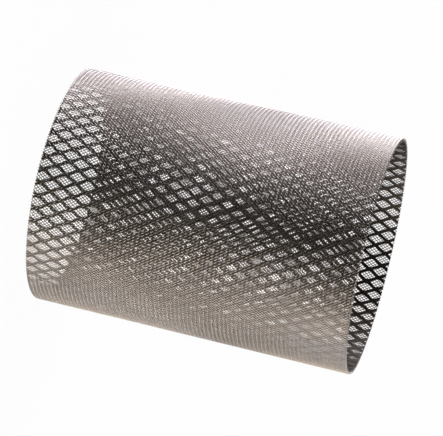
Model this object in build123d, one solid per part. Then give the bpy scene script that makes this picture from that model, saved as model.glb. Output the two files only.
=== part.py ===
"""Strainer screen: a sleeve of woven wire cloth over a support tube of expanded metal.

The axis stands on +Z and the origin is the centre of the lower cut end.
"""

import os
from math import ceil, cos, floor, hypot, pi

from build123d import *

# Driving dimensions, in millimetres
outer_diameter = 62.0  # across the crests of the wire cloth
length = 84.0  # between the two plain cut ends
cloth_thickness = 0.3  # two crossed wires
support_thickness = 1.0  # the expanded sheet, over its raised strands
fit_gap = 0.1  # between the cloth and the support tube

# Diamond lattice of the support tube
diamond_count = 26  # round the tube, an even number
diamond_length = 12.0  # the long way of one diamond, along the axis
strand_width = 1.5

# Bias weave of the cloth, with one mesh on every second diamond of the lattice
mesh_step = 2
band_width = 2.4  # woven band between two gaps
crest_width = 1.2  # ridge along the middle of each band
ridge_height = 0.1

# Each wall bends at its columns of openings and is flat between them
mesh_count = diamond_count // mesh_step
mesh_length = diamond_length * mesh_step
support_flats = 2 * diamond_count
cloth_flats = 2 * mesh_count

# Radii out to the bends
crest_radius = outer_diameter / 2
cloth_radius = crest_radius - ridge_height / cos(pi / cloth_flats)
cloth_inner_radius = crest_radius - cloth_thickness / cos(pi / cloth_flats)
support_radius = cloth_inner_radius * cos(pi / cloth_flats) - fit_gap
support_inner_radius = support_radius - support_thickness / cos(pi / support_flats)

# The lowest row of openings that is whole, on both pieces
first_row = diamond_length / 2

# Cutters reach this far in and out from a wall, past its faces and the bends beside them
cut_depth = cloth_thickness + support_thickness + crest_radius * (1 - cos(pi / cloth_flats))


def wall(outer_radius, inner_radius, flats):
    """A tube of flats over the whole length, with one bend on the X axis."""
    outline = RegularPolygon(outer_radius, flats) - RegularPolygon(inner_radius, flats)
    return extrude(outline, amount=length)


def rhombus(cell_width, cell_length, margin):
    """One cell of a diamond lattice, drawn in by the margin on all four sides."""
    reach = cell_width * cell_length / hypot(cell_width, cell_length) / 2
    share = 1 - margin / reach
    across = cell_width / 2 * share
    along = cell_length / 2 * share
    return Polygon((across, 0), (0, along), (-across, 0), (0, -along), align=None)


def cut_rows(tube, opening, radius, columns, cell_length):
    """Cut an opening through a tube on staggered rows, also where an end crosses a row."""
    side = Plane(origin=(radius, 0, 0), x_dir=(0, 1, 0), z_dir=(1, 0, 0))
    cutter = side * extrude(opening, amount=cut_depth, both=True)
    half_opening = opening.bounding_box().size.Y / 2
    row_pitch = cell_length / 2
    lowest = ceil((-half_opening - first_row) / row_pitch)
    highest = floor((length + half_opening - first_row) / row_pitch)
    cutters = []
    for row in range(lowest, highest + 1):
        height = first_row + row * row_pitch
        for column in range(columns):
            turn = 360 / columns * (column + row % 2 / 2)
            cutters.append(Location((0, 0, height), (0, 0, turn)) * cutter)
    return tube.cut(*cutters)


def make_support_tube():
    """Expanded metal: a lattice of diamonds, cut plainly through a row at each end."""
    tube = wall(support_radius, support_inner_radius, support_flats)
    cell_width = 2 * pi * support_radius / diamond_count
    opening = rhombus(cell_width, diamond_length, strand_width / 2)
    return cut_rows(tube, opening, support_radius, diamond_count, diamond_length)


def make_wire_cloth():
    """Bias weave: a thin wall with a gap in each mesh, under ridges that cross."""
    cell_width = 2 * pi * crest_radius / mesh_count
    gap = rhombus(cell_width, mesh_length, band_width / 2)
    between_ridges = rhombus(cell_width, mesh_length, crest_width / 2)
    thin_wall = wall(cloth_radius, cloth_inner_radius, cloth_flats)
    thin_wall = cut_rows(thin_wall, gap, crest_radius, mesh_count, mesh_length)
    ridges = wall(crest_radius, cloth_radius, cloth_flats)
    ridges = cut_rows(ridges, between_ridges, crest_radius, mesh_count, mesh_length)
    return thin_wall + ridges


os.makedirs("parts", exist_ok=True)
export_step(make_support_tube(), "parts/support_tube.step")
export_step(make_wire_cloth(), "parts/wire_cloth.step")
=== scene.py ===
import math

import bmesh
import bpy
from mathutils import Matrix, Vector


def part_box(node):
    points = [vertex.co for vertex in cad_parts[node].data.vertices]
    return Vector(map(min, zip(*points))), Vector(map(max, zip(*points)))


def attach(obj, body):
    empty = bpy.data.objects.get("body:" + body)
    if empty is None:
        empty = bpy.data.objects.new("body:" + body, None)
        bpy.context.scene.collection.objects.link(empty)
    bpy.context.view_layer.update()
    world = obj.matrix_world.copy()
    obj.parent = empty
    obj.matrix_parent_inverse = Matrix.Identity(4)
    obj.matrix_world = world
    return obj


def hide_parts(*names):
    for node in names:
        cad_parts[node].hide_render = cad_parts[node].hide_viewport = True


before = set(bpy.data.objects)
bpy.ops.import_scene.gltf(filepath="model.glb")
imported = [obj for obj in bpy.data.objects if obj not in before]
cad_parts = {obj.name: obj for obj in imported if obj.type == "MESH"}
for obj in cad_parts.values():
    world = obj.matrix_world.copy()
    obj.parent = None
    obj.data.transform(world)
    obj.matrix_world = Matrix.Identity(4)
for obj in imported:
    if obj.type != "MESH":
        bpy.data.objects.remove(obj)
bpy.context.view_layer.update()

mm = 0.001
clothLow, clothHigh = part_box("wire_cloth")
sleeveRadius = clothHigh.x  # over the crests of the wires
sleeveLength = clothHigh.z - clothLow.z
print("frame loaded, sleeve", round(sleeveRadius / mm, 2), "by", round(sleeveLength / mm, 2))


def addNode(tree, kind, settings=(), **inputs):
    # inputs are named as the sockets are, with an underscore for a space, or in0, in1 where names repeat
    node = tree.nodes.new(kind)
    for name, value in dict(settings).items():
        setattr(node, name, value)
    for name, value in inputs.items():
        numbered = name[:2] == "in" and name[2:].isdigit()
        socket = node.inputs[int(name[2:])] if numbered else node.inputs[name.replace("_", " ")]
        if isinstance(value, bpy.types.NodeSocket):
            tree.links.new(value, socket)
        else:
            socket.default_value = value
    return node


def linearColour(hexText):
    # sRGB hex to the linear colour that a socket takes
    steps = [int(hexText[i:i + 2], 16) / 255 for i in (1, 3, 5)]
    return [s / 12.92 if s <= 0.04045 else ((s + 0.055) / 1.055) ** 2.4 for s in steps] + [1.0]


def startMaterial(name):
    material = bpy.data.materials.new(name)
    material.use_nodes = True
    material.node_tree.nodes.clear()
    return material, material.node_tree


def startTree(name, inputs):
    # gives the tree, the sockets of its named inputs and the socket that takes its result
    tree = bpy.data.node_groups.new(name, "GeometryNodeTree")
    tree.interface.new_socket(name="Geometry", in_out="INPUT", socket_type="NodeSocketGeometry")
    for label, kind in inputs.items():
        tree.interface.new_socket(name=label, in_out="INPUT", socket_type="NodeSocket" + kind)
    tree.interface.new_socket(name="Geometry", in_out="OUTPUT", socket_type="NodeSocketGeometry")
    return tree, tree.nodes.new("NodeGroupInput").outputs, tree.nodes.new("NodeGroupOutput").inputs[0]


def runTree(tree, name, startMesh, values):
    # makes a plain mesh object from a tree, its inputs set by identifier before the first evaluation
    maker = bpy.data.objects.new(name + "Maker", startMesh)
    bpy.context.scene.collection.objects.link(maker)
    modifier = maker.modifiers.new(tree.name, "NODES")
    modifier.node_group = tree
    for item in tree.interface.items_tree:
        if item.in_out == "INPUT" and item.name in values:
            modifier[item.identifier] = values[item.name]
    bpy.context.view_layer.update()
    depsgraph = bpy.context.evaluated_depsgraph_get()
    mesh = bpy.data.meshes.new_from_object(maker.evaluated_get(depsgraph))
    maker.modifiers.remove(modifier)
    bpy.data.objects.remove(maker)
    mesh.name = name
    piece = bpy.data.objects.new(name, mesh)
    bpy.context.scene.collection.objects.link(piece)
    return piece


def countTriangles(mesh):
    return sum(len(p.vertices) - 2 for p in mesh.polygons)


def addRadius(tree, place):
    # the distance from the sleeve's axis
    level = addNode(tree, "ShaderNodeVectorMath", {"operation": "MULTIPLY"}, in0=place, in1=(1.0, 1.0, 0.0))
    radius = addNode(tree, "ShaderNodeVectorMath", {"operation": "LENGTH"}, in0=level.outputs[0])
    return radius.outputs["Value"]


# drawn stainless wire, woven: a soft sheen that is brightest on the rubbed crests of the weave, painted
# shade that darkens the wire between the crests, and batches of wire a little warmer or greyer than the next
wireSteelLook = {
    "crest": "#e6e2df",  # rubbed bright
    "shade": "#958f89",  # painted shade, where the wire lies between the crests
    "warm": "#c9bfb2",
    "warmShare": 0.35,  # of the warm tone, in the warmest batch
    "warmFrom": 0.4,  # of the patches' noise, where wire starts to be warmer
    "warmTo": 0.7,
    "roughness": 0.27,
    "crestRoughness": 0.21,
    "patchMm": 2.2,  # across one batch
    "crestMm": 0.28,  # how deep under the crests the rubbed colour fades into the painted shade
    "drawnMm": 0.03,  # across the marks that drawing left
    "drawnDepthMm": 0.002,
}


def makeWireSteel():
    look = wireSteelLook
    material, tree = startMaterial("drawnStainlessWire")
    place = addNode(tree, "ShaderNodeTexCoord").outputs["Object"]
    patches = addNode(tree, "ShaderNodeTexNoise", Vector=place, Scale=1 / (look["patchMm"] * mm), Detail=2.0)
    batch = addNode(tree, "ShaderNodeMapRange", Value=patches.outputs["Fac"], From_Min=look["warmFrom"],
                    From_Max=look["warmTo"], To_Max=look["warmShare"])
    # the middle of the cloth lies one wire's width under its crests, and its inner crests as far under that
    clothHalf = wires["diameterMm"] * mm
    offMiddle = addNode(tree, "ShaderNodeMath", {"operation": "SUBTRACT"}, in0=addRadius(tree, place),
                        in1=sleeveRadius - clothHalf)
    depth = addNode(tree, "ShaderNodeMath", {"operation": "ABSOLUTE"}, in0=offMiddle.outputs[0])
    # painted shade: the wire turns from its rubbed crest colour to a darker one the deeper it lies under the
    # crests, on both faces of the cloth
    crest = addNode(tree, "ShaderNodeMapRange", {"interpolation_type": "SMOOTHSTEP"},
                    Value=depth.outputs[0], From_Min=clothHalf - look["crestMm"] * mm, From_Max=clothHalf)
    rubbedAndShaded = addNode(tree, "ShaderNodeMix", {"data_type": "RGBA"}, in0=crest.outputs[0],
                   in6=linearColour(look["shade"]), in7=linearColour(look["crest"]))
    tone = addNode(tree, "ShaderNodeMix", {"data_type": "RGBA"}, in0=batch.outputs[0], in6=rubbedAndShaded.outputs[2],
                   in7=linearColour(look["warm"]))
    rough = addNode(tree, "ShaderNodeMapRange", Value=crest.outputs[0], To_Min=look["roughness"],
                    To_Max=look["crestRoughness"])
    marks = addNode(tree, "ShaderNodeTexNoise", Vector=place, Scale=1 / (look["drawnMm"] * mm), Detail=1.0)
    bump = addNode(tree, "ShaderNodeBump", Height=marks.outputs["Fac"], Distance=look["drawnDepthMm"] * mm)
    shader = addNode(tree, "ShaderNodeBsdfPrincipled", Base_Color=tone.outputs[2], Metallic=1.0,
                     Roughness=rough.outputs[0], Normal=bump.outputs[0])
    addNode(tree, "ShaderNodeOutputMaterial", Surface=shader.outputs[0])
    return material


# one family of wires runs up to the right and one up to the left, so they cross on the bias; the real cloth
# has 340 finer wires in each family, too fine to show at this size, so it is drawn as coarse as it needs
# to show
wires = {
    "perFamily": 240,
    "diameterMm": 0.205,
    "crossings": 157,  # along one wire
    "jitter": 0.06,  # of the pitch, either way
    "sides": 5,
    "sectors": 3,  # pieces of each family
    "seed": 11,
}


def makeWireTree():
    tree, given, result = startTree("wovenWires", {
        "Wires": "Int", "First Wire": "Int", "Pitch": "Float", "Jitter": "Float", "Seed": "Int",
        "Crossings": "Int", "Turn": "Float", "Length": "Float",
        "Mid Radius": "Float", "Crimp": "Float", "Wire Radius": "Float", "Sides": "Int",
        "Material": "Material"})
    top = addNode(tree, "ShaderNodeCombineXYZ", Z=given["Length"])
    line = addNode(tree, "GeometryNodeCurvePrimitiveLine", End=top.outputs[0])
    points = addNode(tree, "ShaderNodeMath", {"operation": "ADD"}, in0=given["Crossings"], in1=1.0)
    path = addNode(tree, "GeometryNodeResampleCurve", Curve=line.outputs[0], Count=points.outputs[0])
    step = addNode(tree, "GeometryNodeInputIndex").outputs[0]
    # over and under by turns, on a helix round the sleeve
    halfTurns = addNode(tree, "ShaderNodeMath", {"operation": "MULTIPLY"}, in0=step, in1=math.pi)
    side = addNode(tree, "ShaderNodeMath", {"operation": "COSINE"}, in0=halfTurns.outputs[0])
    radius = addNode(tree, "ShaderNodeMath", {"operation": "MULTIPLY_ADD"}, in0=side.outputs[0],
                     in1=given["Crimp"], in2=given["Mid Radius"])
    angle = addNode(tree, "ShaderNodeMath", {"operation": "MULTIPLY"}, in0=step, in1=given["Turn"])
    cosine = addNode(tree, "ShaderNodeMath", {"operation": "COSINE"}, in0=angle.outputs[0])
    sine = addNode(tree, "ShaderNodeMath", {"operation": "SINE"}, in0=angle.outputs[0])
    acrossX = addNode(tree, "ShaderNodeMath", {"operation": "MULTIPLY"}, in0=cosine.outputs[0],
                      in1=radius.outputs[0])
    acrossY = addNode(tree, "ShaderNodeMath", {"operation": "MULTIPLY"}, in0=sine.outputs[0],
                      in1=radius.outputs[0])
    here = addNode(tree, "GeometryNodeInputPosition").outputs[0]
    height = addNode(tree, "ShaderNodeSeparateXYZ", Vector=here).outputs[2]
    helix = addNode(tree, "ShaderNodeCombineXYZ", X=acrossX.outputs[0], Y=acrossY.outputs[0], Z=height)
    bent = addNode(tree, "GeometryNodeSetPosition", Geometry=path.outputs[0], Position=helix.outputs[0])
    section = addNode(tree, "GeometryNodeCurvePrimitiveCircle", Resolution=given["Sides"],
                      Radius=given["Wire Radius"])
    wire = addNode(tree, "GeometryNodeCurveToMesh", Curve=bent.outputs[0],
                   Profile_Curve=section.outputs[0], Fill_Caps=True)
    # one wire turned round the axis as often as the family has wires in this sector
    starts = addNode(tree, "GeometryNodePoints", Count=given["Wires"])
    number = addNode(tree, "ShaderNodeMath", {"operation": "ADD"}, in0=step, in1=given["First Wire"])
    least = addNode(tree, "ShaderNodeMath", {"operation": "MULTIPLY"}, in0=given["Jitter"], in1=-1.0)
    shift = addNode(tree, "FunctionNodeRandomValue", {"data_type": "FLOAT"}, in2=least.outputs[0],
                    in3=given["Jitter"], ID=number.outputs[0], Seed=given["Seed"])
    placed = addNode(tree, "ShaderNodeMath", {"operation": "ADD"}, in0=number.outputs[0],
                     in1=shift.outputs[1])
    turned = addNode(tree, "ShaderNodeMath", {"operation": "MULTIPLY"}, in0=placed.outputs[0],
                     in1=given["Pitch"])
    rotation = addNode(tree, "ShaderNodeCombineXYZ", Z=turned.outputs[0])
    copies = addNode(tree, "GeometryNodeInstanceOnPoints", Points=starts.outputs[0],
                     Instance=wire.outputs[0], Rotation=rotation.outputs[0])
    real = addNode(tree, "GeometryNodeRealizeInstances", Geometry=copies.outputs[0])
    smooth = addNode(tree, "GeometryNodeSetShadeSmooth", Geometry=real.outputs[0])
    finished = addNode(tree, "GeometryNodeSetMaterial", Geometry=smooth.outputs[0],
                       Material=given["Material"])
    tree.links.new(finished.outputs[0], result)
    return tree


def makeWireCloth(material):
    tree = makeWireTree()
    wireRadius = wires["diameterMm"] / 2 * mm
    # a many-sided wire as wide on average as the round one
    cornerRadius = wireRadius * math.pi / (wires["sides"] * math.sin(math.pi / wires["sides"]))
    midRadius = sleeveRadius - wireRadius - cornerRadius
    pitch = 2 * math.pi / wires["perFamily"]
    made = []
    for family, hand, seed in (("Right", 1, wires["seed"]), ("Left", -1, wires["seed"] + 1)):
        for sector in range(wires["sectors"]):
            first = wires["perFamily"] * sector // wires["sectors"]
            last = wires["perFamily"] * (sector + 1) // wires["sectors"]
            name = f"wiresTo{family}_{sector + 1}"
            piece = runTree(tree, name, bpy.data.meshes.new(name + "Start"), {
                "Wires": last - first, "First Wire": first, "Pitch": pitch,
                "Jitter": wires["jitter"], "Seed": seed,
                "Crossings": wires["crossings"], "Turn": hand * pitch / 2, "Length": sleeveLength,
                "Mid Radius": midRadius, "Crimp": hand * wireRadius, "Wire Radius": cornerRadius,
                "Sides": wires["sides"], "Material": material})
            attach(piece, "root")
            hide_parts("wire_cloth")
            made.append(piece)
    return made


# rolled stainless sheet, slit and drawn open: dull and dark with the mill's grain round the tube, and
# a little brighter where the knife sheared the edges of each strand
sheetSteelLook = {
    "face": "#5f5a55",
    "stain": "#46413d",
    "sheared": "#716b65",
    "roughness": 0.58,
    "shearedRoughness": 0.48,
    "edgeFrom": 0.35,  # a face that looks less out of the sheet than this is all sheared
    "edgeTo": 0.6,  # and one that looks out of it more than this is not
    "stainMm": 3.0,  # across one stain
    "grainMm": 0.25,  # between two rolling marks
    "grainLength": 12.0,  # times longer than wide
    "grainDepthMm": 0.008,
}


def makeSheetSteel():
    look = sheetSteelLook
    material, tree = startMaterial("rolledStainlessSheet")
    place = addNode(tree, "ShaderNodeTexCoord").outputs["Object"]
    stains = addNode(tree, "ShaderNodeTexNoise", Vector=place, Scale=1 / (look["stainMm"] * mm), Detail=4.0)
    face = addNode(tree, "ShaderNodeMix", {"data_type": "RGBA"}, in0=stains.outputs["Fac"],
                   in6=linearColour(look["stain"]), in7=linearColour(look["face"]))
    # a sheared edge looks across the sheet and not out of it
    level = addNode(tree, "ShaderNodeVectorMath", {"operation": "MULTIPLY"}, in0=place, in1=(1.0, 1.0, 0.0))
    outward = addNode(tree, "ShaderNodeVectorMath", {"operation": "NORMALIZE"}, in0=level.outputs[0])
    surface = addNode(tree, "ShaderNodeNewGeometry").outputs["Normal"]
    facing = addNode(tree, "ShaderNodeVectorMath", {"operation": "DOT_PRODUCT"}, in0=outward.outputs[0],
                     in1=surface)
    flatness = addNode(tree, "ShaderNodeMath", {"operation": "ABSOLUTE"}, in0=facing.outputs["Value"])
    sheared = addNode(tree, "ShaderNodeMapRange", Value=flatness.outputs[0], From_Min=look["edgeFrom"],
                      From_Max=look["edgeTo"], To_Min=1.0, To_Max=0.0)
    tone = addNode(tree, "ShaderNodeMix", {"data_type": "RGBA"}, in0=sheared.outputs[0], in6=face.outputs[2],
                   in7=linearColour(look["sheared"]))
    rough = addNode(tree, "ShaderNodeMapRange", Value=sheared.outputs[0], To_Min=look["roughness"],
                    To_Max=look["shearedRoughness"])
    along = addNode(tree, "ShaderNodeVectorMath", {"operation": "MULTIPLY"}, in0=place,
                    in1=(1.0, 1.0, look["grainLength"]))
    grain = addNode(tree, "ShaderNodeTexNoise", Vector=along.outputs[0],
                    Scale=1 / (look["grainMm"] * look["grainLength"] * mm), Detail=3.0)
    bump = addNode(tree, "ShaderNodeBump", Height=grain.outputs["Fac"], Distance=look["grainDepthMm"] * mm)
    shader = addNode(tree, "ShaderNodeBsdfPrincipled", Base_Color=tone.outputs[2], Metallic=1.0,
                     Roughness=rough.outputs[0], Normal=bump.outputs[0])
    addNode(tree, "ShaderNodeOutputMaterial", Surface=shader.outputs[0])
    return material


lattice = {
    "around": 57,  # diamonds
    "rowStepMm": 3.0,  # half the long way of one diamond
    "firstRowMm": 1.2,  # from the lower end to the middle of the first row of diamonds
    "firstAngle": 250.0,  # of a diamond in the first row, in degrees
    "midRadiusMm": 30.2,
    "sheetMm": 0.3,
    "tiltMm": 0.05,  # at a bond one edge of a strand stands this much out, the other in
    "strandTilt": 0.8,  # of that, halfway along a strand
    "mergeMm": 0.02,  # corners closer than this are one
    "side": (1.08, 0.24),  # corner of an opening beside a bond, across and along from its centre, in mm
    "middle": (0.57, 1.16),  # corner of an opening halfway along a strand
    "tip": 2.12,  # the pointed end of an opening, from its centre
}


def makeCell(name):
    # one bond of the expanded sheet with the two strands that leave it upwards, laid flat: x round the tube,
    # y along it and z outwards
    pitch = 2 * math.pi * lattice["midRadiusMm"] / lattice["around"]
    half, row = pitch / 2, lattice["rowStepMm"]
    (sideX, sideY), (midX, midY), tip = lattice["side"], lattice["middle"], lattice["tip"]
    high, low = lattice["tiltMm"], -lattice["tiltMm"]
    strandHigh, strandLow = lattice["strandTilt"] * high, lattice["strandTilt"] * low
    spots = {
        "leftUpper": (sideX - half, sideY, high), "leftLower": (sideX - half, -sideY, high),
        "rightUpper": (half - sideX, sideY, low), "rightLower": (half - sideX, -sideY, low),
        "above": (0, row - tip, 0), "below": (0, tip - row, 0),
        "rightStrandOuter": (half - midX, midY, strandLow),
        "rightStrandInner": (midX, row - midY, strandHigh),
        "leftStrandOuter": (midX - half, midY, strandHigh),
        "leftStrandInner": (-midX, row - midY, strandLow),
        "rightTip": (half, tip, 0), "rightBond": (sideX, row - sideY, high),
        "leftTip": (-half, tip, 0), "leftBond": (-sideX, row - sideY, low),
    }
    faces = (
        ("rightLower", "rightUpper", "above", "leftUpper", "leftLower", "below"),
        ("rightUpper", "rightStrandOuter", "rightStrandInner", "above"),
        ("rightStrandOuter", "rightTip", "rightBond", "rightStrandInner"),
        ("above", "leftStrandInner", "leftStrandOuter", "leftUpper"),
        ("leftStrandInner", "leftBond", "leftTip", "leftStrandOuter"),
    )
    edges = (
        ("rightLower", "rightUpper"), ("leftUpper", "leftLower"),
        ("rightUpper", "rightStrandOuter"), ("rightStrandOuter", "rightTip"),
        ("rightBond", "rightStrandInner"), ("rightStrandInner", "above"),
        ("above", "leftStrandInner"), ("leftStrandInner", "leftBond"),
        ("leftTip", "leftStrandOuter"), ("leftStrandOuter", "leftUpper"),
    )
    builder = bmesh.new()
    outer, inner = {}, {}
    for spot, (x, y, z) in spots.items():
        outer[spot] = builder.verts.new((x * mm, y * mm, (z + lattice["sheetMm"] / 2) * mm))
        inner[spot] = builder.verts.new((x * mm, y * mm, (z - lattice["sheetMm"] / 2) * mm))
    for face in faces:
        builder.faces.new([outer[s] for s in face])
        builder.faces.new([inner[s] for s in reversed(face)])
    for a, b in edges:
        builder.faces.new((outer[b], outer[a], inner[a], inner[b]))
    mesh = bpy.data.meshes.new(name)
    builder.to_mesh(mesh)
    builder.free()
    return mesh


def makeLatticeTree():
    tree, given, result = startTree("expandedSheet", {
        "Around": "Int", "Rows": "Int", "Pitch": "Float", "Row Step": "Float", "First Row": "Float",
        "First Angle": "Float", "Mid Radius": "Float", "Material": "Material"})
    total = addNode(tree, "ShaderNodeMath", {"operation": "MULTIPLY"}, in0=given["Around"],
                    in1=given["Rows"])
    spots = addNode(tree, "GeometryNodePoints", Count=total.outputs[0])
    index = addNode(tree, "GeometryNodeInputIndex").outputs[0]
    column = addNode(tree, "ShaderNodeMath", {"operation": "MODULO"}, in0=index, in1=given["Around"])
    share = addNode(tree, "ShaderNodeMath", {"operation": "DIVIDE"}, in0=index, in1=given["Around"])
    roundingSlack = 0.001  # keeps the first diamond of a row in that row
    nudged = addNode(tree, "ShaderNodeMath", {"operation": "ADD"}, in0=share.outputs[0], in1=roundingSlack)
    row = addNode(tree, "ShaderNodeMath", {"operation": "FLOOR"}, in0=nudged.outputs[0])
    odd = addNode(tree, "ShaderNodeMath", {"operation": "MODULO"}, in0=row.outputs[0], in1=2.0)
    stagger = addNode(tree, "ShaderNodeMath", {"operation": "MULTIPLY_ADD"}, in0=odd.outputs[0], in1=0.5,
                      in2=column.outputs[0])
    across = addNode(tree, "ShaderNodeMath", {"operation": "MULTIPLY"}, in0=stagger.outputs[0],
                     in1=given["Pitch"])
    along = addNode(tree, "ShaderNodeMath", {"operation": "MULTIPLY_ADD"}, in0=row.outputs[0],
                    in1=given["Row Step"], in2=given["First Row"])
    spot = addNode(tree, "ShaderNodeCombineXYZ", X=across.outputs[0], Y=along.outputs[0])
    laid = addNode(tree, "GeometryNodeSetPosition", Geometry=spots.outputs[0], Position=spot.outputs[0])
    copies = addNode(tree, "GeometryNodeInstanceOnPoints", Points=laid.outputs[0],
                     Instance=given["Geometry"])
    flat = addNode(tree, "GeometryNodeRealizeInstances", Geometry=copies.outputs[0])
    # the flat sheet is rolled into the tube
    place = addNode(tree, "GeometryNodeInputPosition").outputs[0]
    here = addNode(tree, "ShaderNodeSeparateXYZ", Vector=place)
    arc = addNode(tree, "ShaderNodeMath", {"operation": "DIVIDE"}, in0=here.outputs[0],
                  in1=given["Mid Radius"])
    angle = addNode(tree, "ShaderNodeMath", {"operation": "ADD"}, in0=arc.outputs[0],
                    in1=given["First Angle"])
    radius = addNode(tree, "ShaderNodeMath", {"operation": "ADD"}, in0=here.outputs[2],
                     in1=given["Mid Radius"])
    cosine = addNode(tree, "ShaderNodeMath", {"operation": "COSINE"}, in0=angle.outputs[0])
    sine = addNode(tree, "ShaderNodeMath", {"operation": "SINE"}, in0=angle.outputs[0])
    acrossX = addNode(tree, "ShaderNodeMath", {"operation": "MULTIPLY"}, in0=cosine.outputs[0],
                      in1=radius.outputs[0])
    acrossY = addNode(tree, "ShaderNodeMath", {"operation": "MULTIPLY"}, in0=sine.outputs[0],
                      in1=radius.outputs[0])
    bent = addNode(tree, "ShaderNodeCombineXYZ", X=acrossX.outputs[0], Y=acrossY.outputs[0],
                     Z=here.outputs[1])
    rolled = addNode(tree, "GeometryNodeSetPosition", Geometry=flat.outputs[0], Position=bent.outputs[0])
    joined = addNode(tree, "GeometryNodeMergeByDistance", Geometry=rolled.outputs[0],
                     Distance=lattice["mergeMm"] * mm)
    finished = addNode(tree, "GeometryNodeSetMaterial", Geometry=joined.outputs[0],
                       Material=given["Material"])
    tree.links.new(finished.outputs[0], result)
    return tree


def cutEnds(piece):
    # the sheet was cut plainly through its strands at both ends
    snapDistance = 1e-7
    builder = bmesh.new()
    builder.from_mesh(piece.data)
    for height, way in ((0.0, -1), (sleeveLength, 1)):
        everything = builder.verts[:] + builder.edges[:] + builder.faces[:]
        cut = bmesh.ops.bisect_plane(builder, geom=everything, dist=snapDistance, plane_co=(0, 0, height),
                                     plane_no=(0, 0, way), clear_outer=True)
        edges = [e for e in cut["geom_cut"] if isinstance(e, bmesh.types.BMEdge)]
        bmesh.ops.holes_fill(builder, edges=edges, sides=0)
    builder.to_mesh(piece.data)
    builder.free()


def makeSupportTube(material):
    midRadius = lattice["midRadiusMm"] * mm
    pitch = 2 * math.pi / lattice["around"]
    # the lowest row starts one step under the first, so that the lower end cuts it too
    rows = math.ceil((sleeveLength / mm - lattice["firstRowMm"]) / lattice["rowStepMm"]) + 1
    piece = runTree(makeLatticeTree(), "expandedLattice", makeCell("latticeCell"), {
        "Around": lattice["around"], "Rows": rows, "Pitch": pitch * midRadius,
        "Row Step": lattice["rowStepMm"] * mm,
        "First Row": (lattice["firstRowMm"] - lattice["rowStepMm"]) * mm,
        "First Angle": math.radians(lattice["firstAngle"]), "Mid Radius": midRadius, "Material": material})
    cutEnds(piece)
    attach(piece, "root")
    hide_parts("support_tube")
    return piece


wirePieces = makeWireCloth(makeWireSteel())
wireTriangles = sum(countTriangles(p.data) for p in wirePieces)
print("wire cloth:", len(wirePieces), "pieces,", wireTriangles, "triangles")
supportPiece = makeSupportTube(makeSheetSteel())
print("support tube:", countTriangles(supportPiece.data), "triangles")


studio = {
    "white": "#ffffff",  # of the table top and of the backdrop
    "floorShadow": 0.035,  # share of the floor's light that the shadow takes
    "floorSize": 12.0,  # in metres
    "floorGapMm": 0.1,  # between the table top and the sleeve's lower end
    "polish": "#f4f4f4",  # of the table top, as metal mirrors it
    "polishRoughness": 0.1,
    # a soft lamp: its angle round the sleeve from the camera, how far it stands above the horizon, how far
    # it spreads, how many times wider than high it is, its strength and its colour
    "lamps": (
        (101.0, 8.0, 30.0, 1.0, 6.0, "#fbf3f6"),
        (122.0, 8.0, 32.0, 1.0, 2.0, "#e8e8ff"),
        (162.0, 4.0, 45.0, 1.0, 1.6, "#f4f4ff"),
        (-70.0, 8.0, 30.0, 2.2, 3.4, "#fff0da"),
        (-90.0, 8.0, 30.0, 2.2, 1.5, "#f0f1ff"),
        (-130.0, 8.0, 30.0, 1.0, 1.8, "#ffefdd"),
        (0.0, 90.0, 50.0, 1.0, 1.2, "#fffef8"),
    ),
}


def addLamps(tree, way):
    # the soft lamps as one emission, by the direction in which they are seen
    total = None
    for angle, rise, spread, flatness, strength, colour in studio["lamps"]:
        # angles grow from the camera round the side that is up in the picture, and negative ones go the
        # other way
        turn, lift = math.radians(angle), math.radians(rise)
        place = Vector((-math.sin(turn) * math.cos(lift), -math.cos(turn) * math.cos(lift),
                        math.sin(lift) * flatness)).normalized()
        squeezed = addNode(tree, "ShaderNodeVectorMath", {"operation": "MULTIPLY"}, in0=way,
                           in1=(1.0, 1.0, flatness))
        aim = addNode(tree, "ShaderNodeVectorMath", {"operation": "NORMALIZE"}, in0=squeezed.outputs[0])
        near = addNode(tree, "ShaderNodeVectorMath", {"operation": "DOT_PRODUCT"}, in0=aim.outputs[0],
                       in1=place)
        level = addNode(tree, "ShaderNodeMapRange", {"interpolation_type": "SMOOTHSTEP"},
                        Value=near.outputs["Value"], From_Min=math.cos(math.radians(spread)), From_Max=1.0,
                        To_Min=0.0, To_Max=strength)
        lamp = addNode(tree, "ShaderNodeEmission", Color=linearColour(colour), Strength=level.outputs[0])
        if total:
            total = addNode(tree, "ShaderNodeAddShader", in0=total.outputs[0], in1=lamp.outputs[0])
        else:
            total = lamp
    return total.outputs[0]


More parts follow.
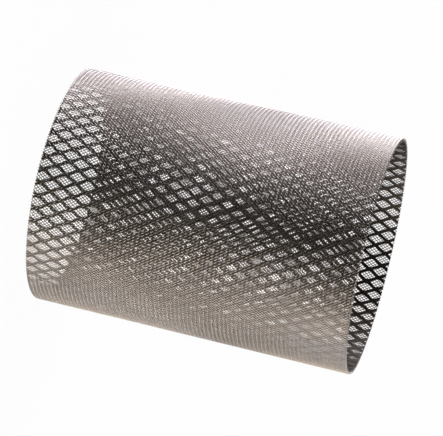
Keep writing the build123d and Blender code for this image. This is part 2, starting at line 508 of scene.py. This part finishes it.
def makeFloor():
    mesh = bpy.data.meshes.new("floor")
    half = studio["floorSize"] / 2
    low = -studio["floorGapMm"] * mm
    mesh.from_pydata([(-half, -half, low), (half, -half, low), (half, half, low), (-half, half, low)],
                     [], [(0, 1, 2, 3)])
    floor = bpy.data.objects.new("floor", mesh)
    bpy.context.scene.collection.objects.link(floor)
    material, tree = startMaterial("whiteTableTop")
    path = addNode(tree, "ShaderNodeLightPath")
    paint = addNode(tree, "ShaderNodeBsdfDiffuse", Color=linearColour(studio["white"]))
    glow = addNode(tree, "ShaderNodeEmission", Color=linearColour(studio["white"]), Strength=1.0)
    share = addNode(tree, "ShaderNodeMath", {"operation": "MULTIPLY"}, in0=path.outputs["Is Camera Ray"],
                    in1=1 - studio["floorShadow"])
    seen = addNode(tree, "ShaderNodeMixShader", in0=share.outputs[0], in1=paint.outputs[0],
                   in2=glow.outputs[0])
    # metal shows the lamps and the backdrop mirrored in the polished table
    polish = addNode(tree, "ShaderNodeBsdfAnisotropic", Color=linearColour(studio["polish"]),
                     Roughness=studio["polishRoughness"])
    mirrored = addNode(tree, "ShaderNodeMath", {"operation": "MAXIMUM"}, in0=path.outputs["Is Glossy Ray"],
                       in1=path.outputs["Is Transmission Ray"])
    both = addNode(tree, "ShaderNodeMixShader", in0=mirrored.outputs[0], in1=seen.outputs[0],
                   in2=polish.outputs[0])
    addNode(tree, "ShaderNodeOutputMaterial", Surface=both.outputs[0])
    material.cycles.emission_sampling = "NONE"  # the glow is for the camera and lights nothing
    mesh.materials.append(material)


def makeWorld():
    world = bpy.data.worlds.new("studio")
    bpy.context.scene.world = world
    world.use_nodes = True
    tree = world.node_tree
    tree.nodes.clear()
    way = addNode(tree, "ShaderNodeTexCoord").outputs["Generated"]
    # dark in front, with soft lamps at both sides, behind and overhead, and white where the camera sees it
    lamps = addLamps(tree, way)
    white = addNode(tree, "ShaderNodeBackground", Color=linearColour(studio["white"]), Strength=1.0)
    path = addNode(tree, "ShaderNodeLightPath")
    both = addNode(tree, "ShaderNodeMixShader", in0=path.outputs["Is Camera Ray"], in1=lamps,
                   in2=white.outputs[0])
    addNode(tree, "ShaderNodeOutputWorld", Surface=both.outputs[0])


# the photograph's view, on its side: the sleeve stands on the floor and the camera is rolled
view = {
    "place": (-0.000473, -0.598559, 0.154192),  # in metres
    "pitch": 10.589,  # degrees down
    "roll": 103.125,  # degrees, so that the sleeve's upper end is on the right
    "lens": 191.41,  # in mm, on a sensor 36 mm wide
}


def makeCamera():
    data = bpy.data.cameras.new("camera")
    data.sensor_width = 36.0
    data.lens = view["lens"]
    data.clip_start, data.clip_end = 0.01, 100.0
    camera = bpy.data.objects.new("camera", data)
    bpy.context.scene.collection.objects.link(camera)
    turn = Matrix.Rotation(math.radians(90 - view["pitch"]), 4, "X") @ Matrix.Rotation(
        math.radians(view["roll"]), 4, "Z")
    camera.matrix_world = Matrix.Translation(Vector(view["place"])) @ turn
    bpy.context.scene.camera = camera


makeFloor()
makeWorld()
makeCamera()
bpy.context.scene.view_settings.view_transform = "Standard"
print("studio and camera set")
